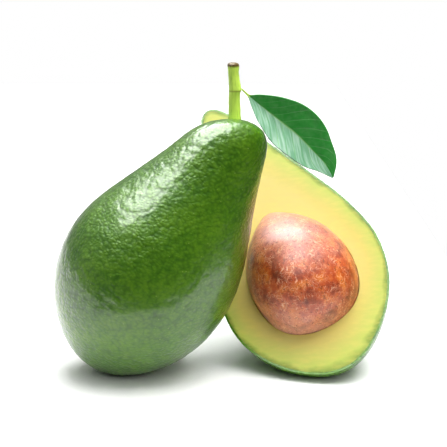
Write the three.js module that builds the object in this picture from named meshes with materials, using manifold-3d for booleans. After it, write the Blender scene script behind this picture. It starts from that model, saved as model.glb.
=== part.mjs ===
// An avocado as it is sold: a whole pear-shaped fruit with a piece of its twig and one leaf,
// in front of a cut half that leans behind its right flank and still holds its stone.
// Millimetres, +Z up, +X to the right and -Y towards the viewer.
// The origin is the middle of the footprint, on the surface that both fruits stand on.
import * as THREE from "three";
import { mergeVertices } from "three/addons/utils/BufferGeometryUtils.js";
import Module from "manifold-3d";

const wasm = await Module();
wasm.setup();

// ---- Driving dimensions -------------------------------------------------------------------

const GAP = 0.3; // clearance between neighbouring pieces
const PEEL = 0.9; // thickness of the half's skin

// A fruit is a body of revolution about its own Z, from the blossom end up to the stem end.
// At polar angle a its height is -length / 2 * cos(a) and its radius is
// sin(a) * (girth[0] + girth[1] * cos(a) + girth[2] * cos(2a) + ...): girth[0] is the mean
// radius, girth[1] makes the pear shape, and the later terms square off the neck and the ends.
// Angles are in degrees: tilt leans it to the right, leanBack away from the viewer, and turn
// faces it to the left. It stands at place, sunk by the depth of its small flat spot.
const WHOLE = {
  length: 118,
  girth: [32.4, 5, 0.3, -3.6, 1.2, -0.2, -0.2],
  depthRatio: 0.91, // a little flatter from front to back
  neckShift: 2.6, // sideways shift of the stem end
  crownSlope: [0.3, -0.35], // slope of the stem end along the fruit's own X and Y
  bow: 0,
  tilt: 29,
  leanBack: -5,
  turn: 0,
  place: [-23.7, -7.9],
  sink: 0.7,
};

// The half is the rear half of such a fruit, cut through its axis by its own XZ plane.
const HALF = {
  length: 134.6,
  girth: [28.1, 13.8, -1.9, -3.6, -0.1],
  depthRatio: 1,
  neckShift: 0,
  crownSlope: [0, 0],
  bow: 2.7, // sideways bow of the axis, most at two thirds of the length
  tilt: -34.9,
  leanBack: 37,
  turn: 16,
  place: [20.7, 21],
  sink: 1.8,
};

// The stone sits in the cut face, half of it standing proud.
const STONE = {
  length: 56,
  girth: [21, 7.3, -0.6, 1.3],
  depthRatio: 1,
  neckShift: 0,
  crownSlope: [0, 0],
  bow: 0,
};
const STONE_PLACE = new THREE.Vector3(1.4, 0, -20.4);

// The twig stands up from the stem end. The points of its axis and of the leaf's midrib are
// in the part's frame before it is centred over its footprint.
const TWIG = {
  footRadius: 2.2,
  topRadius: 1.9,
  axis: [
    [4.3, -10, 97],
    [4, -10, 114],
    [3.6, -10, 125],
  ],
};

const LEAF = {
  halfWidth: 9.8,
  thickness: 0.7,
  stalkRadius: 0.5,
  stalkShare: 0.08, // share of the midrib that is bare stalk
  fold: 30, // degrees that each side of the blade stands up from flat
  facing: new THREE.Vector3(0.1, -0.95, 0.3), // the way that the upper face looks
  midrib: [
    [6.6, -9.5, 115.2],
    [9.7, -8.5, 112.3],
    [14.7, -7.5, 108.9],
    [21.7, -7.5, 104.2],
    [29.4, -8.5, 98.2],
    [35.2, -9.5, 91.7],
    [39.1, -10.5, 86.8],
    [42, -11.5, 81.1],
  ],
};

// ---- Shapes ---------------------------------------------------------------------------------

// The half outline of a fruit as radius and height, moved inwards by inset.
function fruitProfile(fruit, inset, steps) {
  const outline = (angle) => {
    const terms = fruit.girth.map((term, k) => term * Math.cos(k * angle));
    const radius = Math.sin(angle) * terms.reduce((sum, term) => sum + term, 0);
    return new THREE.Vector2(radius, (-fruit.length / 2) * Math.cos(angle));
  };
  const points = [];
  for (let i = 0; i <= steps; i++) {
    const angle = (Math.PI * i) / steps;
    const along = outline(angle + 0.01).sub(outline(angle - 0.01)).normalize();
    const point = outline(angle).add(new THREE.Vector2(-along.y, along.x).multiplyScalar(inset));
    if (i === 0 || i === steps) point.x = 0;
    points.push(point);
  }
  return points;
}

// A fruit's closed surface in its own frame, moved inwards by inset.
function fruitGeometry(fruit, inset = 0, steps = 26, sides = 36) {
  const geometry = new THREE.LatheGeometry(fruitProfile(fruit, inset, steps), sides);
  geometry.rotateX(Math.PI / 2);
  const position = geometry.getAttribute("position");
  for (let i = 0; i < position.count; i++) {
    const x = position.getX(i);
    const y = position.getY(i) * fruit.depthRatio;
    const z = position.getZ(i);
    const share = THREE.MathUtils.clamp(z / fruit.length + 0.5, 0, 1);
    const rise = (fruit.crownSlope[0] * x + fruit.crownSlope[1] * y) * share ** 3;
    const shift = fruit.neckShift * share ** 3 + fruit.bow * 6.75 * share ** 2 * (1 - share);
    position.setXYZ(i, x + shift, y, z + rise);
  }
  return geometry;
}

// A group turned and placed so that the fruit made in it stands on Z = 0, sunk by its flat spot.
function standing(fruit) {
  const group = new THREE.Group();
  const [back, tilt, turn] = [fruit.leanBack, fruit.tilt, fruit.turn].map(THREE.MathUtils.degToRad);
  group.rotation.set(-back, tilt, -turn, "ZXY");
  group.updateMatrix();
  const turned = fruitGeometry(fruit).applyMatrix4(group.matrix);
  turned.computeBoundingBox();
  group.position.set(...fruit.place, -turned.boundingBox.min.z - fruit.sink);
  group.updateMatrix();
  return group;
}

// A closed body swept along a curve. section(angle, share) gives how far a point of the ring
// stands off the curve along the ring's side and face directions.
function sweep(curve, facing, section, sides, steps) {
  const geometry = new THREE.CylinderGeometry(1, 1, 1, sides, steps);
  const position = geometry.getAttribute("position");
  for (let i = 0; i < position.count; i++) {
    const [x, y, z] = [position.getX(i), position.getY(i), position.getZ(i)];
    const share = y + 0.5;
    const along = curve.getTangentAt(share);
    const side = new THREE.Vector3().crossVectors(along, facing).normalize();
    const face = new THREE.Vector3().crossVectors(side, along);
    const [across, up] = section(Math.atan2(z, x), share);
    const out = Math.min(1, Math.hypot(x, z));
    const point = curve.getPointAt(share);
    point.addScaledVector(side, across * out).addScaledVector(face, up * out);
    position.setXYZ(i, point.x, point.y, point.z);
  }
  return geometry;
}

function curveThrough(points) {
  return new THREE.CatmullRomCurve3(points.map((point) => new THREE.Vector3(...point)));
}

// ---- Cutting and joining --------------------------------------------------------------------

function solid(geometry) {
  const bare = new THREE.BufferGeometry();
  bare.setAttribute("position", geometry.getAttribute("position"));
  bare.setIndex(geometry.index);
  const merged = mergeVertices(bare, 1e-4);
  const mesh = new wasm.Mesh({
    numProp: 3,
    vertProperties: new Float32Array(merged.getAttribute("position").array),
    triVerts: new Uint32Array(merged.index.array),
  });
  return new wasm.Manifold(mesh);
}

function geometryOf(manifold) {
  const mesh = manifold.getMesh();
  const geometry = new THREE.BufferGeometry();
  geometry.setAttribute("position", new THREE.BufferAttribute(mesh.vertProperties, 3));
  geometry.setIndex(new THREE.BufferAttribute(mesh.triVerts, 1));
  geometry.computeVertexNormals();
  return geometry;
}

const BLOCK = 400; // side of the cutting blocks, larger than the object

// Everything lower than level, as a block in the frame of a placed group.
function below(level, group) {
  const block = new THREE.BoxGeometry(BLOCK, BLOCK, BLOCK);
  block.translate(0, 0, level - BLOCK / 2);
  return solid(block.applyMatrix4(group.matrix.clone().invert()));
}

// Everything in front of a fruit's own XZ plane.
function inFront() {
  return solid(new THREE.BoxGeometry(BLOCK, BLOCK, BLOCK).translate(0, -BLOCK / 2, 0));
}

// ---- Pieces ---------------------------------------------------------------------------------

function piece(name, geometry, color, roughness) {
  const material = new THREE.MeshStandardMaterial({ color, roughness, metalness: 0 });
  const mesh = new THREE.Mesh(geometry, material);
  mesh.name = name;
  return mesh;
}

function wholeFruit(group) {
  const body = solid(fruitGeometry(WHOLE, 0, 32, 44)).subtract(below(0, group));
  return piece("whole_fruit", geometryOf(body), 0x3f7d1c, 0.4);
}

function halfSkin(group) {
  const outside = solid(fruitGeometry(HALF)).subtract(below(0, group));
  const inside = solid(fruitGeometry(HALF, PEEL)).subtract(below(PEEL, group));
  return piece("half_skin", geometryOf(outside.subtract(inside).subtract(inFront())), 0x38601a, 0.5);
}

function halfFlesh(group) {
  const inset = PEEL + GAP;
  const body = solid(fruitGeometry(HALF, inset)).subtract(below(inset, group));
  const pit = solid(fruitGeometry(STONE, -GAP, 20, 30).translate(...STONE_PLACE));
  return piece("half_flesh", geometryOf(body.subtract(inFront()).subtract(pit)), 0xf0e58a, 0.45);
}

function halfStone() {
  const stone = fruitGeometry(STONE, 0, 20, 30);
  return piece("half_stone", stone.translate(...STONE_PLACE), 0xa8542c, 0.4);
}

// A short length of twig, its foot shaped to the stem end with a clearance all over.
function twig(fruitFrame) {
  const round = (angle, share) => {
    const radius = THREE.MathUtils.lerp(TWIG.footRadius, TWIG.topRadius, share);
    return [radius * Math.cos(angle), radius * Math.sin(angle)];
  };
  const post = sweep(curveThrough(TWIG.axis), new THREE.Vector3(0, -1, 0), round, 14, 12);
  const crown = solid(fruitGeometry(WHOLE, -GAP, 32, 44).applyMatrix4(fruitFrame.matrix));
  return piece("twig", geometryOf(solid(post).subtract(crown)), 0x8fb436, 0.5);
}

// The leaf with its stalk: a round stalk that widens into a thin blade folded on its midrib.
function leaf() {
  const slope = Math.tan(THREE.MathUtils.degToRad(LEAF.fold));
  const blade = (angle, share) => {
    const u = Math.max(0, (share - LEAF.stalkShare) / (1 - LEAF.stalkShare));
    const width = LEAF.halfWidth * Math.max(0, Math.sin(Math.PI * u)) ** 0.8;
    const flat = THREE.MathUtils.smoothstep(u, 0, 0.12);
    const thick = THREE.MathUtils.lerp(LEAF.stalkRadius, LEAF.thickness / 2, flat);
    const across = Math.max(width, LEAF.stalkRadius) * Math.cos(angle);
    return [across, thick * Math.sin(angle) + Math.abs(across) * slope * flat];
  };
  const geometry = sweep(curveThrough(LEAF.midrib), LEAF.facing, blade, 16, 36);
  return piece("leaf", geometry, 0x2f8a3c, 0.35);
}

// ---- The whole part -------------------------------------------------------------------------

const wholeGroup = standing(WHOLE);
wholeGroup.add(wholeFruit(wholeGroup));

const halfGroup = standing(HALF);
halfGroup.add(halfSkin(halfGroup), halfFlesh(halfGroup), halfStone());

const avocado = new THREE.Group();
avocado.add(wholeGroup, halfGroup, twig(wholeGroup), leaf());

const extent = new THREE.Box3().setFromObject(avocado, true);
const middle = extent.getCenter(new THREE.Vector3());
avocado.position.set(-middle.x, -middle.y, -extent.min.z);

export default avocado;
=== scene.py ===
"""A whole avocado with its twig and one leaf, and behind its flank a cut half with its stone.

Metres, +Z up, +X to the right, -Y towards the viewer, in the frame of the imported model.
Each operator makes one piece; the panel in the 3D view's sidebar lists them all.
"""
from math import acos, atan, cos, pi, radians, sin, sqrt

import bmesh
import bpy
import numpy as np
from mathutils import Matrix, Vector
from mathutils.kdtree import KDTree


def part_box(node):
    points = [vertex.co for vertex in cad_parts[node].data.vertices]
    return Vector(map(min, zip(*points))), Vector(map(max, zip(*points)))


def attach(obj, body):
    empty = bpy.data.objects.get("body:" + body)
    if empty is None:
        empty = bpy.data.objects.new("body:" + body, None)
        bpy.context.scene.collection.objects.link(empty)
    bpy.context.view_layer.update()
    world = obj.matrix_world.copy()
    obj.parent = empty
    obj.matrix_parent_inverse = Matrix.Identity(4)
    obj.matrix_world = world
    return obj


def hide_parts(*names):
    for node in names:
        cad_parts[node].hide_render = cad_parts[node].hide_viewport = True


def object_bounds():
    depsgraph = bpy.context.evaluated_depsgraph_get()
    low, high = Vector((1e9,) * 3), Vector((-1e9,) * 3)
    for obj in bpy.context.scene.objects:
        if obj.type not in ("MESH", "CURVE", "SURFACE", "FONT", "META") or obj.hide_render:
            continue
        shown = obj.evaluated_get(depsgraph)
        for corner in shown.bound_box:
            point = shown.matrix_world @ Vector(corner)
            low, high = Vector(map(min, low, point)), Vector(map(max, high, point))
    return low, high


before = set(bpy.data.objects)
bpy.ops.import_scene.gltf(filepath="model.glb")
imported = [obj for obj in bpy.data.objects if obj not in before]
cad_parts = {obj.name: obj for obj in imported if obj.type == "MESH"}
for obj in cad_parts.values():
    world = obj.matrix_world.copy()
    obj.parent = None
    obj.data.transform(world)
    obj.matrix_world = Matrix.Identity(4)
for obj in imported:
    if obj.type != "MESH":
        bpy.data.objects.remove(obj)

bl_info = {
    "name": "Avocado",
    "version": (1, 0, 0),
    "blender": (4, 5, 0),
    "location": "3D View > Sidebar > Avocado",
    "description": "A whole avocado with a leaf, and a cut half with its stone",
    "category": "Add Mesh",
}

CAD_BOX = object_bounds()
MM = 0.001
ON_PLANE = 0.001 * MM  # nearer to a plane than this counts as lying on it


# ---- Settings -------------------------------------------------------------------------------

def linear(colour):
    """An sRGB hex colour as linear red, green, blue and alpha."""
    parts = [int(colour[i:i + 2], 16) / 255 for i in (1, 3, 5)]
    return [c / 12.92 if c <= 0.04045 else ((c + 0.055) / 1.055) ** 2.4 for c in parts] + [1.0]


def size(name, description, default):
    """A length in metres."""
    return bpy.props.FloatProperty(
        name=name, description=description, default=default, unit="LENGTH", precision=5)


def angle(name, description, default):
    """An angle, given in degrees."""
    return bpy.props.FloatProperty(
        name=name, description=description, default=radians(default), subtype="ANGLE")


def number(name, description, default):
    """A plain number or ratio."""
    return bpy.props.FloatProperty(name=name, description=description, default=default)


def terms(name, description, default, **kind):
    """A short row of numbers."""
    return bpy.props.FloatVectorProperty(
        name=name, description=description, default=default, size=len(default), precision=5, **kind)


def colour(name, description, default):
    """A colour, given as sRGB hex."""
    return bpy.props.FloatVectorProperty(
        name=name, description=description, default=linear(default), size=4,
        subtype="COLOR", min=0.0, max=1.0)


GIRTH = "Mean radius, then the cosine terms that make the pear shape and square off its ends"


class WholeFruitSettings(bpy.types.PropertyGroup):
    """The whole fruit's form, pebbles and colours."""

    length: size("Length", "Blossom end to stem end", 0.118)
    girth: terms("Girth", GIRTH, (0.0324, 0.005, 0.0003, -0.0036, 0.0012, -0.0002, -0.0002),
                 unit="LENGTH")
    depth_ratio: number("Depth ratio", "Depth of the fruit as a share of its width", 0.91)
    neck_shift: size("Neck shift", "Sideways shift of the stem end", 0.0026)
    crown_slope: terms("Crown slope", "Slope of the stem end to the side and to the rear",
                       (0.3, -0.35))
    bow: size("Bow", "Sideways bow of the axis", 0.0)
    tilt: angle("Tilt", "Lean to the right", 29)
    lean_back: angle("Lean back", "Lean away from the viewer", -5)
    turn: angle("Turn", "Turn to the left", 0)
    pebble_width: size("Pebble width", "Width of one pebble of the skin", 0.0022)
    pebble_depth: size("Pebble depth", "Height of a pebble over the creases", 0.00022)
    swell_width: size("Swell width", "Width of the broad dents and swells", 0.013)
    swell_depth: size("Swell depth", "Height of the broad dents and swells", 0.0005)
    green: colour("Green", "The skin on its pebbles", "#38650c")
    # Painted shade: laid in the creases and in the grooves between the wrinkle cells, where shade falls.
    painted_crease_shade: colour("Crease", "The skin in the creases", "#1d4407")
    # Also laid on the top of each wrinkle cell as a painted highlight.
    light: colour("Light patches", "The skin where it is thin and young", "#608c18")
    speck: colour("Specks", "The corky pores", "#8fae55")


class HalfFruitSettings(bpy.types.PropertyGroup):
    """The cut half's form, peel and colours."""

    length: size("Length", "Blossom end to stem end", 0.1346)
    girth: terms("Girth", GIRTH, (0.0281, 0.0138, -0.0019, -0.0036, -0.0001), unit="LENGTH")
    depth_ratio: number("Depth ratio", "Depth of the fruit as a share of its width", 1.0)
    neck_shift: size("Neck shift", "Sideways shift of the stem end", 0.0)
    crown_slope: terms("Crown slope", "Slope of the stem end to the side and to the rear", (0, 0))
    bow: size("Bow", "Sideways bow of the axis", 0.0027)
    tilt: angle("Tilt", "Lean to the right", -34.9)
    lean_back: angle("Lean back", "Lean away from the viewer", 37)
    turn: angle("Turn", "Turn to the left", 16)
    peel: size("Peel", "Thickness of the peel", 0.0008)
    pebble_width: size("Pebble width", "Width of one pebble of the skin", 0.0022)
    pebble_depth: size("Pebble depth", "Height of a pebble over the creases", 0.0002)
    swell_width: size("Swell width", "Width of the broad dents and swells", 0.013)
    swell_depth: size("Swell depth", "Height of the broad dents and swells", 0.00035)
    rim_green: colour("Rim", "The flesh right under the peel", "#718a33")
    lime: colour("Lime", "The green band of the flesh", "#aeb855")
    yellow: colour("Yellow", "The ripe flesh", "#c3b55f")
    cream: colour("Cream", "The flesh around the stone", "#cbb969")
    vein: colour("Vein", "The faint veins in the flesh", "#d6c263")


class StoneSettings(bpy.types.PropertyGroup):
    """The stone's form and colours."""

    length: size("Length", "Base to tip", 0.056)
    girth: terms("Girth", GIRTH, (0.021, 0.0073, -0.0006, 0.0013), unit="LENGTH")
    depth_ratio: number("Depth ratio", "Depth of the stone as a share of its width", 1.0)
    neck_shift: size("Neck shift", "Sideways shift of the tip", 0.0)
    crown_slope: terms("Crown slope", "Slope of the tip to the side and to the rear", (0, 0))
    bow: size("Bow", "Sideways bow of the axis", 0.0)
    place: terms("Place", "Middle of the stone along the half's own axes",
                 (0.0014, 0.0, -0.0204), unit="LENGTH")
    clearance: size("Clearance", "Gap between the stone and the flesh", 0.0002)
    rust: colour("Rust", "The bare seed coat", "#b0440c")
    dark: colour("Dark", "The darkest blotches of the seed coat", "#6a2209")
    orange: colour("Orange", "The lightest blotches of the seed coat", "#d87822")
    fibre: colour("Fibre", "The dry threads of the seed coat", "#f0c29c")
    # Painted reflection: the pale pink laid on the stone's upper and lower third, as a sheen from the
    # lights above and the floor below.
    painted_sheen: colour("Bloom", "The dull pink bloom on the seed coat", "#cd988c")


class TwigSettings(bpy.types.PropertyGroup):
    """The twig's and the leaf's sizes and colours."""

    foot_radius: size("Foot radius", "Radius of the twig where it meets the fruit", 0.0024)
    top_radius: size("Top radius", "Radius of the twig at its cut end", 0.0021)
    bark: colour("Bark", "The twig's green bark", "#d2f562")
    bark_dark: colour("Dark bark", "The twig's bark in its furrows", "#8bbd3a")
    wood: colour("Cut wood", "The dried cut end and the leaf scar", "#5c4a1e")
    half_width: size("Half width", "Half the width of the leaf", 0.0098)
    fold: angle("Fold", "How far each side of the leaf stands up from flat", 30)
    leaf_thickness: size("Leaf thickness", "Thickness of the blade", 0.0004)
    stalk_radius: size("Stalk radius", "Radius of the leaf's stalk", 0.0006)
    leaf_green: colour("Leaf green", "The upper face of the leaf", "#38a03e")
    leaf_pale: colour("Pale leaf", "The blade along its veins", "#66ad62")
    vein: colour("Vein", "The midrib", "#7fb56e")
    # Painted sheen: the lower half of the blade is laid pale mint, as if it mirrored the light above,
    # with darker streaks where the sheen breaks up.
    leaf_shade: colour("Leaf shade", "Bare streaks of the lower side of the blade", "#4f9468")
    leaf_painted_sheen: colour("Leaf bloom", "The waxy bloom on the lower side of the blade", "#9cc0a8")


# ---- Working with pieces --------------------------------------------------------------------

def only(piece):
    """Makes piece the one selected and active object."""
    bpy.ops.object.select_all(action="DESELECT")
    piece.select_set(True)
    bpy.context.view_layer.objects.active = piece


def pick(piece, test, kind="verts"):
    """Selects, in edit mode, only the vertices or edges that pass a test."""
    bpy.ops.mesh.select_all(action="DESELECT")
    form = bmesh.from_edit_mesh(piece.data)
    for element in getattr(form, kind):
        if test(element):
            element.select_set(True)
    form.select_flush(True)
    bmesh.update_edit_mesh(piece.data, loop_triangles=False, destructive=False)


def edit(piece):
    """Goes into edit mode on piece alone, with vertices as what is selected."""
    only(piece)
    bpy.ops.object.mode_set(mode="EDIT")
    bpy.ops.mesh.select_mode(type="VERT")


def done():
    """Leaves edit mode."""
    bpy.ops.object.mode_set(mode="OBJECT")


def turn_by(value, axis, centre):
    """Turns what is selected, right-handed: without a window the operator turns the other way."""
    if abs(value) > 1e-6:
        bpy.ops.transform.rotate(value=-value, orient_axis=axis, center_override=centre)


def stretch(x, y, z, centre=(0, 0, 0)):
    """Scales what is selected along each axis about a centre."""
    bpy.ops.transform.resize(value=(x, y, z), center_override=centre)


def finish_with(piece, kind, **settings):
    """Adds a modifier with its settings and applies it."""
    only(piece)
    modifier = piece.modifiers.new(kind.title(), kind)
    for name, value in settings.items():
        setattr(modifier, name, value)
    bpy.ops.object.modifier_apply(modifier=modifier.name)


def smooth(piece, levels):
    """Subdivides a piece's surface and keeps the result."""
    finish_with(piece, "SUBSURF", levels=levels, render_levels=levels)


def move_into(piece, matrix):
    """Moves a piece by a matrix and leaves its place in its mesh."""
    only(piece)
    piece.matrix_world = matrix
    bpy.ops.object.transform_apply(location=True, rotation=True, scale=True)


def places(piece):
    """Every vertex's place, as the rows of an array."""
    rows = np.empty(len(piece.data.vertices) * 3, np.float32)
    piece.data.vertices.foreach_get("co", rows)
    return rows.reshape(-1, 3)


def remember(piece, name, values):
    """Stores one number on each vertex, for the piece's material to read."""
    attribute = piece.data.attributes.new(name, "FLOAT", "POINT")
    attribute.data.foreach_set("value", np.asarray(values, np.float32))


def pattern(name, kind, **settings):
    """A texture for Displace to read."""
    texture = bpy.data.textures.new(name, kind)
    for key, value in settings.items():
        setattr(texture, key, value)
    return texture


def settle(piece, name, node, slot, *materials):
    """Names a finished piece, gives it its materials and ties it to the frame."""
    piece.name = piece.data.name = name
    piece.data.materials.clear()
    for material in materials:
        piece.data.materials.append(material)
    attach(piece, "root")
    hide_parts(node)


# ---- The form of a fruit --------------------------------------------------------------------

def outline(form, a, inset=0.0):
    """Radius and height at polar angle a from the blossom end, moved inwards by inset."""
    def point(b):
        radius = sin(b) * sum(term * cos(k * b) for k, term in enumerate(form.girth))
        return Vector((radius, -form.length / 2 * cos(b)))
    along = (point(a + 0.01) - point(a - 0.01)).normalized()
    return point(a) + inset * Vector((-along.y, along.x))


def drift(form, height):
    """The sideways shift and the two slopes of the ring at a height."""
    share = min(1.0, max(0.0, height / form.length + 0.5))
    shift = form.neck_shift * share ** 3 + form.bow * 6.75 * share ** 2 * (1 - share)
    return shift, form.crown_slope[0] * share ** 3, form.crown_slope[1] * share ** 3


def fruit_cage(form, inset, sides, rings, rear_only=False):
    """A sphere's rings, each sized, sloped and moved to follow the fruit's outline."""
    bpy.ops.object.select_all(action="DESELECT")
    bpy.ops.mesh.primitive_uv_sphere_add(segments=sides, ring_count=rings, radius=1)
    cage = bpy.context.object
    ring_of = [round(acos(max(-1, min(1, -v.co.z))) * rings / pi) for v in cage.data.vertices]
    edit(cage)
    for ring in range(rings + 1):
        a = pi * ring / rings
        radius, height = outline(form, a, inset)
        shift, slope_x, slope_y = drift(form, height)
        pick(cage, lambda vertex: ring_of[vertex.index] == ring)
        centre = (0, 0, -cos(a))
        if 0 < ring < rings:
            widen = radius / sin(a)
            stretch(widen * sqrt(1 + slope_x ** 2), widen * form.depth_ratio * sqrt(1 + slope_y ** 2), 1)
            turn_by(atan(slope_y), "X", centre)
            turn_by(-atan(slope_x), "Y", centre)
        bpy.ops.transform.translate(value=(shift, 0, height + cos(a)))
    if rear_only:
        pick(cage, lambda vertex: vertex.co.y < -1e-6)
        bpy.ops.mesh.delete(type="VERT")
    done()
    return cage


def surface_points(form, rear_only=False):
    """Points all over a fruit's outside, in its own frame."""
    points = []
    for i in range(65):
        radius, height = outline(form, pi * i / 64)
        shift, slope_x, slope_y = drift(form, height)
        for j in range(96):
            x, y = radius * cos(pi * j / 48), radius * form.depth_ratio * sin(pi * j / 48)
            if y >= -1e-9 or not rear_only:
                points.append(Vector((x + shift, y, height + slope_x * x + slope_y * y)))
    return points


def stance(form, node, rear_only=False):
    """The two moves that stand a fruit where its node is: its tilt, and then all the rest."""
    tilt = Matrix.Rotation(form.tilt, 4, "Y")
    rest = Matrix.Rotation(-form.turn, 4, "Z") @ Matrix.Rotation(-form.lean_back, 4, "X")
    points = [rest @ tilt @ point for point in surface_points(form, rear_only)]
    low = [min(point[axis] for point in points) for axis in range(3)]
    high = [max(point[axis] for point in points) for axis in range(3)]
    box_low, box_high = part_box(node)
    middle = [(box_low[axis] + box_high[axis] - low[axis] - high[axis]) / 2 for axis in range(2)]
    return tilt, Matrix.Translation((*middle, box_high.z - high[2])) @ rest


def pebble(piece, settings):
    """Raises broad swells and fine pebbles on a skin, and stores each pebble's height."""
    swells = pattern("skin swells", "CLOUDS", noise_scale=settings.swell_width, noise_depth=1)
    finish_with(piece, "DISPLACE", texture=swells, strength=settings.swell_depth,
                texture_coords="LOCAL", mid_level=0.5)
    before = places(piece)
    cells = pattern("skin pebbles", "VORONOI", noise_scale=settings.pebble_width,
                    distance_metric="DISTANCE_SQUARED")
    finish_with(piece, "DISPLACE", texture=cells, strength=-settings.pebble_depth,
                texture_coords="LOCAL", mid_level=0.3)
    fine = pattern("skin grain", "CLOUDS", noise_scale=settings.pebble_width * 0.9, noise_depth=2)
    finish_with(piece, "DISPLACE", texture=fine, strength=settings.pebble_depth * 0.7,
                texture_coords="LOCAL", mid_level=0.5)
    normals = np.empty(len(piece.data.vertices) * 3, np.float32)
    piece.data.vertices.foreach_get("normal", normals)
    height = ((places(piece) - before) * normals.reshape(-1, 3)).sum(1)
    low, high = np.percentile(height, (3, 97))
    remember(piece, "pebble", np.clip((height - low) / (high - low), 0, 1))


# ---- Materials ------------------------------------------------------------------------------

def add(tree, kind, inputs=(), stops=(), **settings):
    """Adds a node with its settings, its inputs' values or links, and its ramp's stops."""
    node = tree.nodes.new("ShaderNode" + kind)
    for name, value in settings.items():
        setattr(node, name, value)
    for name, value in dict(inputs).items():
        if isinstance(value, bpy.types.NodeSocket):
            tree.links.new(value, node.inputs[name])
        else:
            node.inputs[name].default_value = value
    for i, (position, shade) in enumerate(stops):
        points = node.color_ramp.elements
        point = points[i] if i < len(points) else points.new(position)
        point.position, point.color = position, shade
    return node


def blank(name):
    """A new material's node tree, with nothing in it."""
    material = bpy.data.materials.new(name)
    material.use_nodes = True
    material.node_tree.nodes.clear()
    return material, material.node_tree


def grey(value):
    """A grey of a linear value, as a colour."""
    return value, value, value, 1.0


def blend(tree, share, first, second, mode="MIX"):
    """One colour over another by a share: sockets or colours."""
    node = add(tree, "Mix", data_type="RGBA", blend_type=mode)
    for index, value in ((0, share), (6, first), (7, second)):
        if isinstance(value, bpy.types.NodeSocket):
            tree.links.new(value, node.inputs[index])
        else:
            node.inputs[index].default_value = value
    return node.outputs[2]


def close(tree, shader):
    """Ends a material's tree with its shader."""
    add(tree, "OutputMaterial", {"Surface": shader.outputs[0]})


def avocado_skin(settings, name="waxed avocado skin", wax=0.9):
    """Living avocado skin: leathery, pebbled and waxy, so each pebble has its own small glint;
    painted shade darkens the creases and the grooves between the wrinkle cells, a painted
    highlight lightens the top of each cell, and corky pores show as pale specks."""
    material, tree = blank(name)
    place = add(tree, "TexCoord").outputs["Object"]
    height = add(tree, "Attribute", attribute_name="pebble").outputs["Fac"]
    # Patches of younger skin, about 14 mm across.
    patches = add(tree, "TexNoise", {"Vector": place, "Scale": 1 / (14 * MM), "Detail": 3.0})
    patchy = add(tree, "ValToRGB", {"Fac": patches.outputs[0]},
                 [(0.45, grey(0)), (0.75, grey(0.6))]).outputs[0]
    # Fine mottling, about 3 mm across.
    mottle = add(tree, "TexNoise", {"Vector": place, "Scale": 1 / (3 * MM), "Detail": 4.0})
    mottled = add(tree, "ValToRGB", {"Fac": mottle.outputs[0]},
                  [(0.35, grey(0)), (0.7, grey(0.45))]).outputs[0]
    base = blend(tree, patchy, list(settings.green), list(settings.light))
    base = blend(tree, mottled, base, list(settings.light))
    # Painted shade: the creases between the modelled pebbles, darkest where the pebbles lie lowest.
    painted_crease_shade = add(tree, "ValToRGB", {"Fac": height}, [(0.0, grey(0.25)), (0.35, grey(0))]).outputs[0]
    base = blend(tree, painted_crease_shade, base, list(settings.painted_crease_shade))
    # Leathery wrinkles over the modelled pebbles: 1.4 mm cells, drawn out across the axis,
    # with a painted highlight on top of each cell and painted shade in the grooves between them.
    upright = add(tree, "Mapping", {"Vector": place, "Rotation": (0, -settings.tilt, 0),
                                    "Scale": (1, 1, 1.25)}).outputs[0]
    bend = add(tree, "TexNoise", {"Vector": upright, "Scale": 1 / (4 * MM), "Detail": 1.0})
    shift = add(tree, "VectorMath", {0: bend.outputs["Color"], "Scale": 2.0 * MM},
                operation="SCALE")
    wrinkled = add(tree, "VectorMath", {0: upright, 1: shift.outputs[0]}, operation="ADD")
    cells = add(tree, "TexVoronoi", {"Vector": wrinkled.outputs[0], "Scale": 1 / (1.4 * MM),
                                     "Smoothness": 0.3}, feature="SMOOTH_F1")
    # Painted highlight: the light patches' colour laid on the top of each cell.
    painted_top_highlight = add(tree, "ValToRGB", {"Fac": cells.outputs["Distance"]},
               [(0.12, grey(0.4)), (0.42, grey(0))]).outputs[0]
    base = blend(tree, painted_top_highlight, base, list(settings.light))
    # Painted shade: the crease colour laid in the grooves between the cells.
    painted_groove_shade = add(tree, "ValToRGB", {"Fac": cells.outputs["Distance"]},
                [(0.5, grey(0)), (0.85, grey(0.42))]).outputs[0]
    base = blend(tree, painted_groove_shade, base, list(settings.painted_crease_shade))
    # Corky pores, about 0.5 mm across and 3 mm apart.
    pores = add(tree, "TexVoronoi", {"Vector": place, "Scale": 1 / (3 * MM)})
    dots = add(tree, "ValToRGB", {"Fac": pores.outputs["Distance"]},
               [(0.05, grey(0.55)), (0.1, grey(0))]).outputs[0]
    base = blend(tree, dots, base, list(settings.speck))
    rough = add(tree, "TexNoise", {"Vector": place, "Scale": 1 / (0.6 * MM), "Detail": 3.0})
    cell_bump = add(tree, "Bump", {"Height": cells.outputs["Distance"], "Strength": 0.8,
                                   "Distance": 0.32 * MM}, invert=True)
    bump = add(tree, "Bump", {"Height": rough.outputs[0], "Strength": 0.35,
                              "Distance": 0.12 * MM, "Normal": cell_bump.outputs[0]})
    gloss = add(tree, "MapRange", {"Value": mottle.outputs[0], "To Min": 0.32, "To Max": 0.44})
    close(tree, add(tree, "BsdfPrincipled", {
        "Base Color": base, "Roughness": gloss.outputs[0], "Normal": bump.outputs[0],
        "IOR": 1.5, "Specular IOR Level": 0.2,
        "Coat Weight": wax, "Coat Roughness": 0.22, "Coat IOR": 1.5}))
    return material


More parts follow.
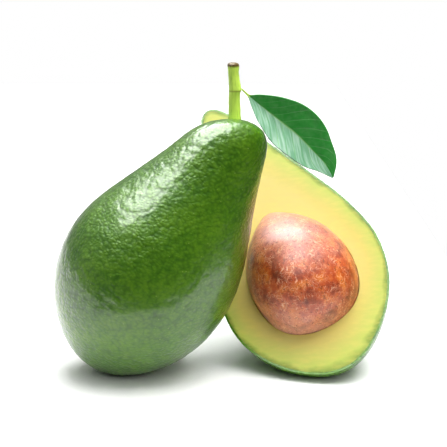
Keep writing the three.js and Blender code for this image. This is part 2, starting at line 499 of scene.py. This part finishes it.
def avocado_flesh(settings):
    """Fresh cut flesh: oily and soft, lime green under the peel and butter yellow inside,
    with a moist, low sheen and light that sinks in a little."""
    material, tree = blank("moist cut avocado flesh")
    place = add(tree, "TexCoord").outputs["Object"]
    depth = add(tree, "Attribute", attribute_name="depth").outputs["Fac"]
    cloud = add(tree, "TexNoise", {"Vector": place, "Scale": 1 / (7 * MM), "Detail": 3.0})
    wander = add(tree, "MapRange", {"Value": cloud.outputs[0], "To Min": -0.1, "To Max": 0.1})
    shifted = add(tree, "Math", {0: depth, 1: wander.outputs[0]}, operation="ADD").outputs[0]
    base = add(tree, "ValToRGB", {"Fac": shifted}, [
        (0.0, list(settings.rim_green)), (0.1, list(settings.lime)),
        (0.5, list(settings.yellow)), (0.8, list(settings.cream))]).outputs[0]
    # Faint knife streaks and veins, 1.5 mm apart.
    streak_place = add(tree, "Mapping", {"Vector": place, "Scale": (0.25, 1.0, 1.0),
                                         "Rotation": (0, radians(-8), 0)}).outputs[0]
    streaks = add(tree, "TexNoise", {"Vector": streak_place, "Scale": 1 / (1.5 * MM),
                                     "Detail": 2.0})
    faint = add(tree, "ValToRGB", {"Fac": streaks.outputs[0]},
                [(0.42, grey(0)), (0.75, grey(0.3))]).outputs[0]
    base = blend(tree, faint, base, list(settings.vein))
    bump = add(tree, "Bump", {"Height": streaks.outputs[0], "Strength": 0.12,
                              "Distance": 0.15 * MM})
    close(tree, add(tree, "BsdfPrincipled", {
        "Base Color": base, "Roughness": 0.5, "Normal": bump.outputs[0], "IOR": 1.44,
        "Subsurface Weight": 0.25, "Subsurface Radius": (1.0, 0.8, 0.3),
        "Subsurface Scale": 2.5 * MM, "Specular IOR Level": 0.15}))
    return material


def seed_coat(settings):
    """A fresh stone's papery coat: rust brown blotches under a net of dry, pale threads, with
    a painted pink reflection over its upper and its lower third, and a dull satin shine."""
    material, tree = blank("papery seed coat")
    place = add(tree, "TexCoord").outputs["Object"]
    low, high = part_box("half_stone")
    blotch = add(tree, "TexNoise", {"Vector": place, "Scale": 1 / (6 * MM), "Detail": 5.0,
                                    "Roughness": 0.62})
    base = add(tree, "ValToRGB", {"Fac": blotch.outputs[0]}, [
        (0.3, list(settings.dark)), (0.48, list(settings.rust)),
        (0.7, list(settings.orange))]).outputs[0]
    # Painted reflection: a pale pink sheen laid on the upper and the lower third by height, whose edge
    # wanders by up to 5 mm.
    level = add(tree, "SeparateXYZ", {0: place}).outputs[2]
    cloud = add(tree, "TexNoise", {"Vector": place, "Scale": 1 / (5 * MM), "Detail": 4.0})
    ragged = add(tree, "Math", {0: cloud.outputs[0], 1: 10 * MM, 2: level},
                 operation="MULTIPLY_ADD")
    share = add(tree, "MapRange", {"Value": ragged.outputs[0], "From Min": low.z + 5 * MM,
                                   "From Max": high.z + 5 * MM})
    painted_sheen_share = add(tree, "ValToRGB", {"Fac": share.outputs[0]}, [
        (0.12, grey(0.6)), (0.36, grey(0.12)), (0.66, grey(0.0)), (0.88, grey(0.35))])
    base = blend(tree, painted_sheen_share.outputs[0], base, list(settings.painted_sheen))
    # Threads: winding level lines of three noises, 4.5 mm, 3.2 mm and 2.4 mm across.
    threads = None
    for width, thin, strength in ((4.5, 0.012, 0.8), (3.2, 0.014, 0.7), (2.4, 0.016, 0.6)):
        aside = add(tree, "Mapping", {"Vector": place, "Location": (width, 0, 0)}).outputs[0]
        noise = add(tree, "TexNoise", {"Vector": aside, "Scale": 1 / (width * MM),
                                       "Detail": 1.0, "Roughness": 0.5, "Distortion": 1.2})
        lines = add(tree, "ValToRGB", {"Fac": noise.outputs[0]}, [
            (0.5 - thin, grey(0)), (0.5, grey(strength)), (0.5 + thin, grey(0))]).outputs[0]
        threads = lines if threads is None else blend(tree, 1.0, threads, lines, "LIGHTEN")
    broken = add(tree, "TexNoise", {"Vector": place, "Scale": 1 / (3 * MM), "Detail": 1.0})
    shown = add(tree, "ValToRGB", {"Fac": broken.outputs[0]},
                [(0.32, grey(0)), (0.55, grey(1))]).outputs[0]
    threads = blend(tree, 1.0, threads, shown, "MULTIPLY")
    base = blend(tree, threads, base, list(settings.fibre))
    specks = add(tree, "TexNoise", {"Vector": place, "Scale": 1 / (1.1 * MM), "Detail": 3.0})
    dark = add(tree, "ValToRGB", {"Fac": specks.outputs[0]},
               [(0.33, grey(0.7)), (0.43, grey(0))]).outputs[0]
    base = blend(tree, dark, base, list(settings.dark))
    bump = add(tree, "Bump", {"Height": threads, "Strength": 0.5, "Distance": 0.1 * MM})
    close(tree, add(tree, "BsdfPrincipled", {
        "Base Color": base, "Roughness": 0.5, "Normal": bump.outputs[0], "IOR": 1.5,
        "Specular IOR Level": 0.2, "Coat Weight": 0.8, "Coat Roughness": 0.36}))
    return material


def green_bark(settings):
    """A young twig's smooth green bark: satin, furrowed lengthways, brown where it is cut."""
    material, tree = blank("young green bark")
    place = add(tree, "TexCoord").outputs["Object"]
    long_place = add(tree, "Mapping", {"Vector": place, "Scale": (1, 1, 0.12)}).outputs[0]
    furrows = add(tree, "TexNoise", {"Vector": long_place, "Scale": 1 / (0.7 * MM),
                                     "Detail": 3.0})
    share = add(tree, "ValToRGB", {"Fac": furrows.outputs[0]},
                [(0.45, grey(0)), (0.8, grey(0.7))]).outputs[0]
    base = blend(tree, share, list(settings.bark), list(settings.bark_dark))
    woody = add(tree, "Attribute", attribute_name="woody").outputs["Fac"]
    base = blend(tree, woody, base, list(settings.wood))
    bump = add(tree, "Bump", {"Height": furrows.outputs[0], "Strength": 0.4,
                              "Distance": 0.12 * MM})
    close(tree, add(tree, "BsdfPrincipled", {
        "Base Color": base, "Roughness": 0.42, "Normal": bump.outputs[0], "IOR": 1.46}))
    return material


def leaf_blade(settings):
    """A leathery evergreen leaf: deep green and glossy, with a pale midrib and side veins
    that curve towards the tip, and a painted pale sheen on the lower half of the blade."""
    material, tree = blank("glossy evergreen leaf")
    coordinates = add(tree, "TexCoord")
    split = add(tree, "SeparateXYZ", {0: coordinates.outputs["UV"]})
    off_middle = add(tree, "Math", {0: split.outputs[1], 1: 0.5}, operation="SUBTRACT")
    across = add(tree, "Math", {0: off_middle.outputs[0]}, operation="ABSOLUTE").outputs[0]
    midrib = add(tree, "ValToRGB", {"Fac": across},
                 [(0.008, grey(0.9)), (0.028, grey(0))]).outputs[0]
    # Eleven pairs of side veins, each starting at the midrib and running towards the tip.
    forward = add(tree, "Math", {0: across, 1: -0.42}, operation="MULTIPLY")
    phase = add(tree, "Math", {0: split.outputs[0], 1: forward.outputs[0]}, operation="ADD")
    count = add(tree, "Math", {0: phase.outputs[0], 1: 11.0}, operation="MULTIPLY")
    saw = add(tree, "Math", {0: count.outputs[0]}, operation="FRACT")
    veins = add(tree, "ValToRGB", {"Fac": saw.outputs[0]}, [
        (0.38, grey(0)), (0.47, grey(1)), (0.56, grey(0))]).outputs[0]
    place = coordinates.outputs["Object"]
    mottle = add(tree, "TexNoise", {"Vector": place, "Scale": 1 / (2 * MM), "Detail": 4.0})
    patch = add(tree, "ValToRGB", {"Fac": mottle.outputs[0]},
                [(0.4, grey(0)), (0.75, grey(0.5))]).outputs[0]
    base = blend(tree, patch, list(settings.leaf_green), list(settings.leaf_pale))
    # Streaks beside the side veins, a third of their spacing wide, where the painted sheen breaks up.
    strand = add(tree, "CombineXYZ", {0: count.outputs[0], 1: across})
    streak = add(tree, "TexNoise", {"Vector": strand.outputs[0], "Scale": 3.0, "Detail": 3.0})
    vein_share = blend(tree, 1.0, veins, grey(0.45), "MULTIPLY")
    base = blend(tree, vein_share, base, list(settings.leaf_pale))
    # Painted sheen: the lower half of the blade is laid pale mint between the side veins, as if it
    # mirrored the light above, with darker streaks where it breaks up.
    lower = add(tree, "ValToRGB", {"Fac": split.outputs[1]},
                [(0.485, grey(0.95)), (0.5, grey(0))]).outputs[0]
    painted_sheen = blend(tree, veins, list(settings.leaf_painted_sheen), list(settings.leaf_pale))
    bare = add(tree, "ValToRGB", {"Fac": streak.outputs[0]},
               [(0.42, grey(0.7)), (0.6, grey(0))]).outputs[0]
    painted_sheen = blend(tree, bare, painted_sheen, list(settings.leaf_shade))
    base = blend(tree, lower, base, painted_sheen)
    base = blend(tree, midrib, base, list(settings.vein))
    stalk = add(tree, "ValToRGB", {"Fac": split.outputs[0]},
                [(0.07, grey(1)), (0.1, grey(0))]).outputs[0]
    base = blend(tree, stalk, base, list(settings.bark))
    relief = blend(tree, 1.0, veins, midrib, "LIGHTEN")
    bump = add(tree, "Bump", {"Height": relief, "Strength": 0.5, "Distance": 0.2 * MM},
               invert=True)
    close(tree, add(tree, "BsdfPrincipled", {
        "Base Color": base, "Roughness": 0.28, "Normal": bump.outputs[0], "IOR": 1.5,
        "Coat Weight": 1.0, "Coat Roughness": 0.2}))
    return material


def white_paper():
    """Matt white backdrop paper: bright, even and without a shine."""
    material, tree = blank("matt white paper")
    place = add(tree, "TexCoord").outputs["Object"]
    fibre = add(tree, "TexNoise", {"Vector": place, "Scale": 1 / (1.2 * MM), "Detail": 2.0})
    shade = add(tree, "ValToRGB", {"Fac": fibre.outputs[0]},
                [(0.3, grey(0.94)), (0.7, grey(0.97))]).outputs[0]
    close(tree, add(tree, "BsdfPrincipled", {"Base Color": shade, "Roughness": 0.9}))
    return material


# ---- Pieces ---------------------------------------------------------------------------------

# Sides and rings of each cage before its surface is subdivided.
FRUIT_SIDES, FRUIT_RINGS = 80, 56
FLESH_SIDES, FLESH_RINGS = 64, 56
STONE_SIDES, STONE_RINGS = 64, 52
FINE = 2  # subdivision levels of every piece
UNDER_PEEL = 0.02 * MM  # clearance between the peel and the flesh
GREEN_BAND = 15 * MM  # usual depth of the green band of the flesh
RIM_RAISED = 0.12 * MM  # most that the pebbles lift the peel's rim off the cut


class AVOCADO_OT_whole_fruit(bpy.types.Operator):
    """Add the whole fruit, standing on its small flat spot"""

    bl_idname = "avocado.add_whole_fruit"
    bl_label = "Whole fruit"

    def execute(self, context):
        settings = context.scene.avocado_whole
        fruit = fruit_cage(settings, 0, FRUIT_SIDES, FRUIT_RINGS)
        smooth(fruit, FINE)
        pebble(fruit, settings)
        tilt, rest = stance(settings, "whole_fruit")
        move_into(fruit, rest @ tilt)
        edit(fruit)
        pick(fruit, lambda vertex: vertex.co.z < 0)
        stretch(1, 1, 0)
        done()
        bpy.ops.object.shade_smooth()
        settle(fruit, "avocado_whole", "whole_fruit", "fruit_skin", avocado_skin(settings))
        return {"FINISHED"}


class AVOCADO_OT_half_peel(bpy.types.Operator):
    """Add the peel of the cut half"""

    bl_idname = "avocado.add_half_peel"
    bl_label = "Peel of the half"

    def execute(self, context):
        settings = context.scene.avocado_half
        peel = fruit_cage(settings, 0, FRUIT_SIDES, FRUIT_RINGS, rear_only=True)
        smooth(peel, FINE)
        pebble(peel, settings)
        tilt, rest = stance(settings, "half_skin", rear_only=True)
        outer = len(peel.data.vertices)
        finish_with(peel, "SOLIDIFY", thickness=settings.peel, offset=-1)
        walls = ((0.0, range(outer)), (settings.peel, range(outer, len(peel.data.vertices))))
        edit(peel)
        pick(peel, lambda vertex: vertex.co.y < RIM_RAISED)
        stretch(1, 0, 1)
        done()
        # Each wall is laid flat where it stands: the cut rim along the cut, then the rest.
        move_into(peel, tilt)
        lean = rest.to_3x3().col[2].z
        edit(peel)
        for level, wall in walls:
            line = (level - rest.translation.z) / lean
            pick(peel, lambda v: v.index in wall and abs(v.co.y) < ON_PLANE and v.co.z < line)
            stretch(1, 1, 0, (0, 0, line))
        done()
        move_into(peel, rest)
        edit(peel)
        for level, wall in walls:
            pick(peel, lambda vertex: vertex.index in wall and vertex.co.z < level)
            stretch(1, 1, 0, (0, 0, level))
        done()
        bpy.ops.object.shade_smooth_by_angle(angle=radians(50))
        skin = avocado_skin(context.scene.avocado_whole, "dull avocado peel", wax=0.35)
        settle(peel, "avocado_half_peel", "half_skin", "half_peel", skin)
        return {"FINISHED"}


class AVOCADO_OT_half_flesh(bpy.types.Operator):
    """Add the flesh of the cut half, with the hollow that the stone sits in"""

    bl_idname = "avocado.add_half_flesh"
    bl_label = "Flesh of the half"

    def execute(self, context):
        settings, stone = context.scene.avocado_half, context.scene.avocado_stone
        inset = settings.peel + UNDER_PEEL
        flesh = fruit_cage(settings, inset, FLESH_SIDES, FLESH_RINGS, rear_only=True)
        smooth(flesh, FINE)
        hollow = fruit_cage(stone, -stone.clearance, FLESH_SIDES, FLESH_RINGS, rear_only=True)
        smooth(hollow, FINE)
        move_into(hollow, Matrix.Translation(stone.place))
        for shell in (flesh, hollow):
            edit(shell)
            pick(shell, lambda edge: edge.is_boundary, "edges")
            stretch(1, 0, 1)
            done()
        only(hollow)
        bpy.ops.object.mode_set(mode="EDIT")
        bpy.ops.mesh.select_all(action="SELECT")
        bpy.ops.mesh.flip_normals()
        done()
        rim = [v.co.copy() for v in flesh.data.vertices if abs(v.co.y) < ON_PLANE]
        only(hollow)
        flesh.select_set(True)
        bpy.context.view_layer.objects.active = flesh
        bpy.ops.object.join()
        edit(flesh)
        bpy.ops.mesh.select_mode(type="EDGE")
        pick(flesh, lambda edge: edge.is_boundary, "edges")
        bpy.ops.mesh.bridge_edge_loops(number_cuts=24, interpolation="LINEAR")
        bpy.ops.mesh.select_all(action="SELECT")
        bpy.ops.mesh.normals_make_consistent(inside=False)
        done()
        tree = KDTree(len(rim))
        for i, place in enumerate(rim):
            tree.insert(place, i)
        tree.balance()
        # On the cut, depth under the peel as a share of the green band, which is wider at the
        # blossom end and a little wider up the neck.
        depths = []
        for vertex in flesh.data.vertices:
            if abs(vertex.co.y) < ON_PLANE:
                share = vertex.co.z / settings.length + 0.5
                widening = 0.75 + 1.6 * max(0.0, 1 - share / 0.3) ** 1.5 + 0.5 * share
                band = GREEN_BAND * widening
                depths.append(tree.find(vertex.co)[2] / band)
            else:
                depths.append(0.0 if self.outside(stone, vertex.co) else 1.0)
        remember(flesh, "depth", depths)
        tilt, rest = stance(settings, "half_skin", rear_only=True)
        move_into(flesh, rest @ tilt)
        edit(flesh)
        bpy.ops.mesh.select_all(action="SELECT")
        bpy.ops.mesh.bisect(plane_co=(0, 0, settings.peel), plane_no=(0, 0, 1), use_fill=True,
                            clear_inner=True)
        done()
        bpy.ops.object.shade_smooth_by_angle(angle=radians(40))
        settle(flesh, "avocado_half_flesh", "half_flesh", "flesh", avocado_flesh(settings))
        return {"FINISHED"}

    @staticmethod
    def outside(stone, place):
        """Whether a place is clear of the stone's hollow."""
        return (place - Vector(stone.place)).length > 0.6 * stone.length


class AVOCADO_OT_stone(bpy.types.Operator):
    """Add the stone, sitting in the half"""

    bl_idname = "avocado.add_stone"
    bl_label = "Stone"

    def execute(self, context):
        half, settings = context.scene.avocado_half, context.scene.avocado_stone
        stone = fruit_cage(settings, 0, STONE_SIDES, STONE_RINGS)
        smooth(stone, FINE)
        lumps = pattern("stone lumps", "CLOUDS", noise_scale=0.012, noise_depth=1)
        finish_with(stone, "DISPLACE", texture=lumps, strength=0.7 * MM,
                    texture_coords="LOCAL", mid_level=0.5)
        move_into(stone, Matrix.Translation(settings.place))
        tilt, rest = stance(half, "half_skin", rear_only=True)
        move_into(stone, rest @ tilt)
        bpy.ops.object.shade_smooth()
        settle(stone, "avocado_stone", "half_stone", "stone_coat", seed_coat(settings))
        return {"FINISHED"}


# Stations of the twig: share of its height, radius as a share, and sideways swell.
TWIG_STATIONS = (
    (0.0, 1.18, 0.0), (0.1, 1.04, 0.0), (0.3, 1.0, 0.0), (0.5, 1.0, 0.03), (0.54, 1.06, 0.1),
    (0.56, 1.11, 0.16), (0.6, 1.08, 0.16), (0.68, 1.0, 0.08), (0.8, 0.98, 0.0), (0.9, 1.0, 0.0),
    (0.945, 1.08, 0.0), (0.985, 1.06, 0.0), (1.0, 0.86, 0.0))


class AVOCADO_OT_twig(bpy.types.Operator):
    """Add the short length of twig that stands on the stem end"""

    bl_idname = "avocado.add_twig"
    bl_label = "Twig"

    def execute(self, context):
        settings = context.scene.avocado_twig
        low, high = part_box("twig")
        foot = Vector(((low.x + high.x) / 2 + 0.3 * MM, (low.y + high.y) / 2, low.z - 1.2 * MM))
        top = Vector((foot.x - 0.7 * MM, foot.y, high.z))
        bpy.ops.object.select_all(action="DESELECT")
        bpy.ops.mesh.primitive_circle_add(vertices=20, radius=1, fill_type="NGON")
        twig = bpy.context.object
        edit(twig)
        bpy.ops.mesh.select_all(action="SELECT")
        bpy.ops.mesh.flip_normals()
        last_radius, last_centre = 1.0, Vector((0, 0, 0))
        for i, (share, swell, aside) in enumerate(TWIG_STATIONS):
            radius = swell * (settings.foot_radius * (1 - share) + settings.top_radius * share)
            centre = foot.lerp(top, share) + Vector((aside * 3 * MM, 0, 0))
            if i:
                bpy.ops.mesh.extrude_region_move()
            bpy.ops.transform.translate(value=centre - last_centre)
            widen = radius / last_radius
            stretch(widen, widen, 1, centre)
            last_radius, last_centre = radius, centre
        bpy.ops.mesh.inset(thickness=0.5 * MM)
        bpy.ops.transform.translate(value=(0, 0, 0.15 * MM))
        bpy.ops.mesh.select_all(action="SELECT")
        bpy.ops.mesh.normals_make_consistent(inside=False)
        done()
        smooth(twig, FINE)
        rows = places(twig)
        share = (rows[:, 2] - foot.z) / (top.z - foot.z)
        scar = np.exp(-((share - 0.555) / 0.012) ** 2) * 0.5
        remember(twig, "woody", np.clip(np.maximum((share - 0.93) / 0.03, scar), 0, 1))
        furrows = pattern("bark lumps", "CLOUDS", noise_scale=0.0022, noise_depth=1)
        finish_with(twig, "DISPLACE", texture=furrows, strength=0.25 * MM,
                    texture_coords="LOCAL", mid_level=0.5)
        bpy.ops.object.shade_smooth()
        settle(twig, "avocado_twig", "twig", "green_twig", green_bark(settings))
        return {"FINISHED"}


# The leaf's midrib from the twig to the tip, in metres from the leaf's first point.
MIDRIB = [Vector(point) * MM for point in (
    (0, 0, 0), (3, 1, -3), (7.6, 2, -6.9), (14.1, 2, -12.1), (21.8, 1, -18.2),
    (27.8, 0, -24.3), (32.2, -1, -28.7), (35.4, -2, -34.1))]
LEAF_FACING = Vector((0.1, -0.95, 0.3)).normalized()
STALK_SHARE = 0.08  # share of the midrib that is bare stalk


def along_midrib(share):
    """A point of the midrib and its direction, on a smooth curve through its points."""
    def at(t):
        t = min(max(t, 0.0), 1.0) * (len(MIDRIB) - 1)
        i = min(int(t), len(MIDRIB) - 2)
        p = [MIDRIB[min(max(i + k, 0), len(MIDRIB) - 1)] for k in (-1, 0, 1, 2)]
        f = t - i
        return 0.5 * (2 * p[1] + f * (p[2] - p[0]) + f * f * (2 * p[0] - 5 * p[1] + 4 * p[2] - p[3])
                      + f ** 3 * (3 * p[1] - p[0] - 3 * p[2] + p[3]))
    return at(share), (at(share + 0.01) - at(share - 0.01)).normalized()


def even_shares(count):
    """Shares of the midrib's list that lie at even distances along its curve."""
    fine = [along_midrib(i / 400)[0] for i in range(401)]
    run = [0.0]
    for a, b in zip(fine, fine[1:]):
        run.append(run[-1] + (b - a).length)
    wanted = [run[-1] * i / count for i in range(count + 1)]
    return [float(x) for x in np.interp(wanted, run, [i / 400 for i in range(401)])]


class AVOCADO_OT_leaf(bpy.types.Operator):
    """Add the leaf with its stalk"""

    bl_idname = "avocado.add_leaf"
    bl_label = "Leaf"

    def execute(self, context):
        settings = context.scene.avocado_twig
        columns, rows = 36, 16
        bpy.ops.object.select_all(action="DESELECT")
        bpy.ops.mesh.primitive_grid_add(x_subdivisions=columns, y_subdivisions=rows, size=2)
        leaf = bpy.context.object
        column_of = [round((v.co.x + 1) * columns / 2) for v in leaf.data.vertices]
        edit(leaf)
        for side in (1, -1):
            pick(leaf, lambda vertex: vertex.co.y * side > 1e-6)
            turn_by(side * settings.fold, "X", (0, 0, 0))
        shares = even_shares(columns)
        for column in range(columns + 1):
            u = column / columns
            blade_u = max(0.0, (u - STALK_SHARE) / (1 - STALK_SHARE))
            width = settings.half_width * max(sin(pi * min(blade_u, 1)), 0) ** 0.8
            width = max(width, settings.stalk_radius * 0.6)
            point, along = along_midrib(shares[column])
            side = LEAF_FACING.cross(along).normalized()
            face = along.cross(side)
            bend = Matrix((along, side, face)).transposed().to_euler("XYZ")
            pick(leaf, lambda vertex: column_of[vertex.index] == column)
            centre = (2 * u - 1, 0, 0)
            stretch(1, width / cos(settings.fold), width / cos(settings.fold), centre)
            for value, axis in zip(bend, "XYZ"):
                turn_by(value, axis, centre)
            bpy.ops.transform.translate(value=point - Vector(centre))
        done()
        smooth(leaf, FINE)
        ripple = pattern("leaf ripple", "CLOUDS", noise_scale=0.007, noise_depth=1)
        finish_with(leaf, "DISPLACE", texture=ripple, strength=0.7 * MM,
                    texture_coords="LOCAL", mid_level=0.5)
        finish_with(leaf, "SOLIDIFY", thickness=settings.leaf_thickness, offset=0)
        place = places(leaf)
        low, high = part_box("leaf")
        shift = (low + high) / 2 - Vector(((place.min(0) + place.max(0)) / 2).tolist())
        move_into(leaf, Matrix.Translation(shift))
        bpy.ops.object.shade_smooth()
        settle(leaf, "avocado_leaf", "leaf", "leaf_blade", leaf_blade(settings))
        return {"FINISHED"}


# ---- The stage ------------------------------------------------------------------------------

# How far the floor runs from the middle of the fruits. It ends close in front of them and to
# their right, so that the skin mirrors the dim room there.
FLOOR_LEFT = 0.8
FLOOR_RIGHT = 0.12
FLOOR_REAR = 0.85
FLOOR_FRONT = 0.1


# Each softbox: its name, its place from what the camera looks at, its width and depth, its
# power in watts, and the rays that don't see it.
SOFTBOXES = (
    ("overhead softbox", (0.2, 0.06, 1.0), 1.3, 1.0, 31, "visible_glossy"),
    ("gloss card", (-0.32, 0.05, 0.93), 1.5, 0.95, 60, "visible_diffuse"),
    ("front fill", (0.45, -0.95, 0.8), 1.2, 0.8, 6, "visible_glossy"),
)

# The camera looks at a point on the middle plane, from the front and a little above.
AIM_DEPTH, AIM_HEIGHT = -0.0133, 0.0602
CAMERA_DISTANCE = 0.494
CAMERA_ELEVATION = radians(14)
LENS, SENSOR = 100, 36  # millimetres


class AVOCADO_OT_stage(bpy.types.Operator):
    """Add the white floor, the studio lights and the camera"""

    bl_idname = "avocado.add_stage"
    bl_label = "Stage"

    def execute(self, context):
        bpy.ops.object.select_all(action="DESELECT")
        bpy.ops.mesh.primitive_plane_add(size=1)
        floor = context.object
        floor.name = "floor"
        edit(floor)
        bpy.ops.mesh.select_all(action="SELECT")
        stretch(FLOOR_LEFT + FLOOR_RIGHT, FLOOR_REAR + FLOOR_FRONT, 1)
        bpy.ops.transform.translate(
            value=((FLOOR_RIGHT - FLOOR_LEFT) / 2, (FLOOR_REAR - FLOOR_FRONT) / 2, 0))
        done()
        floor.data.materials.append(white_paper())
        middle = (CAD_BOX[0] + CAD_BOX[1]) / 2
        aim = Vector((middle.x, AIM_DEPTH, AIM_HEIGHT))
        for name, offset, width, depth, power, blind in SOFTBOXES:
            lamp = self.light(name, aim, Vector(offset), width, depth, power)
            setattr(lamp, blind, False)
        self.sky(context.scene)
        bpy.ops.object.camera_add()
        camera = context.object
        camera.name = "camera"
        camera.data.lens = LENS
        camera.data.sensor_width = SENSOR
        way = Vector((0, -cos(CAMERA_ELEVATION), sin(CAMERA_ELEVATION)))
        camera.location = aim + CAMERA_DISTANCE * way
        camera.rotation_euler = (pi / 2 - CAMERA_ELEVATION, 0, 0)
        context.scene.camera = camera
        context.scene.view_settings.view_transform = "Standard"
        return {"FINISHED"}

    @staticmethod
    def light(name, aim, offset, width, depth, power):
        """A rectangular softbox that looks at the aim."""
        bpy.ops.object.light_add(type="AREA", location=aim + offset)
        lamp = bpy.context.object
        lamp.name = name
        lamp.data.shape = "RECTANGLE"
        lamp.data.size, lamp.data.size_y, lamp.data.energy = width, depth, power
        lamp.rotation_euler = (-offset).to_track_quat("-Z", "Y").to_euler()
        return lamp

    @staticmethod
    def sky(scene):
        """A white backdrop, and a room that is bright above and behind and dim in front."""
        scene.world = bpy.data.worlds.new("white studio")
        scene.world.use_nodes = True
        tree = scene.world.node_tree
        tree.nodes.clear()
        way = add(tree, "TexCoord").outputs["Generated"]
        toward = add(tree, "VectorMath", {0: way, 1: (-0.5, 0.8, 0.0)}, operation="DOT_PRODUCT")
        upward = add(tree, "VectorMath", {0: way, 1: (0.0, 0.0, 1.0)}, operation="DOT_PRODUCT")
        rear = add(tree, "MapRange", {"Value": toward.outputs["Value"], "From Min": -0.2,
                                      "From Max": 0.6, "To Min": 0.03, "To Max": 0.24})
        top = add(tree, "MapRange", {"Value": upward.outputs["Value"], "From Min": 0.4,
                                     "From Max": 0.9, "To Min": 0.0, "To Max": 0.3})
        room = add(tree, "Math", {0: rear.outputs[0], 1: top.outputs[0]}, operation="ADD")
        seen = add(tree, "LightPath").outputs["Is Camera Ray"]
        strength = add(tree, "Mix", {0: seen, 2: room.outputs[0], 3: 1.0})
        sky = add(tree, "Background", {"Strength": strength.outputs[0]})
        add(tree, "OutputWorld", {"Surface": sky.outputs[0]})
        sky.inputs["Color"].default_value = (1, 1, 1, 1)


class AVOCADO_PT_pieces(bpy.types.Panel):
    """Lists the pieces of the avocado and the stage"""

    bl_idname = "AVOCADO_PT_pieces"
    bl_label = "Avocado"
    bl_space_type = "VIEW_3D"
    bl_region_type = "UI"
    bl_category = "Avocado"

    def draw(self, context):
        for operator in OPERATORS:
            self.layout.operator(operator.bl_idname)


SETTINGS = {
    "avocado_whole": WholeFruitSettings,
    "avocado_half": HalfFruitSettings,
    "avocado_stone": StoneSettings,
    "avocado_twig": TwigSettings,
}
OPERATORS = (
    AVOCADO_OT_whole_fruit,
    AVOCADO_OT_half_peel,
    AVOCADO_OT_half_flesh,
    AVOCADO_OT_stone,
    AVOCADO_OT_twig,
    AVOCADO_OT_leaf,
    AVOCADO_OT_stage,
)


def register():
    """Registers the classes and hangs the settings on the scene."""
    for cls in (*SETTINGS.values(), *OPERATORS, AVOCADO_PT_pieces):
        bpy.utils.register_class(cls)
    for name, cls in SETTINGS.items():
        setattr(bpy.types.Scene, name, bpy.props.PointerProperty(type=cls))


def unregister():
    """Takes the settings off the scene and unregisters the classes."""
    for name in SETTINGS:
        delattr(bpy.types.Scene, name)
    for cls in reversed((*SETTINGS.values(), *OPERATORS, AVOCADO_PT_pieces)):
        bpy.utils.unregister_class(cls)


def main():
    """Makes every piece and the stage."""
    register()
    for operator in OPERATORS:
        group, name = operator.bl_idname.split(".")
        getattr(getattr(bpy.ops, group), name)()


if __name__ == "__main__":
    main()
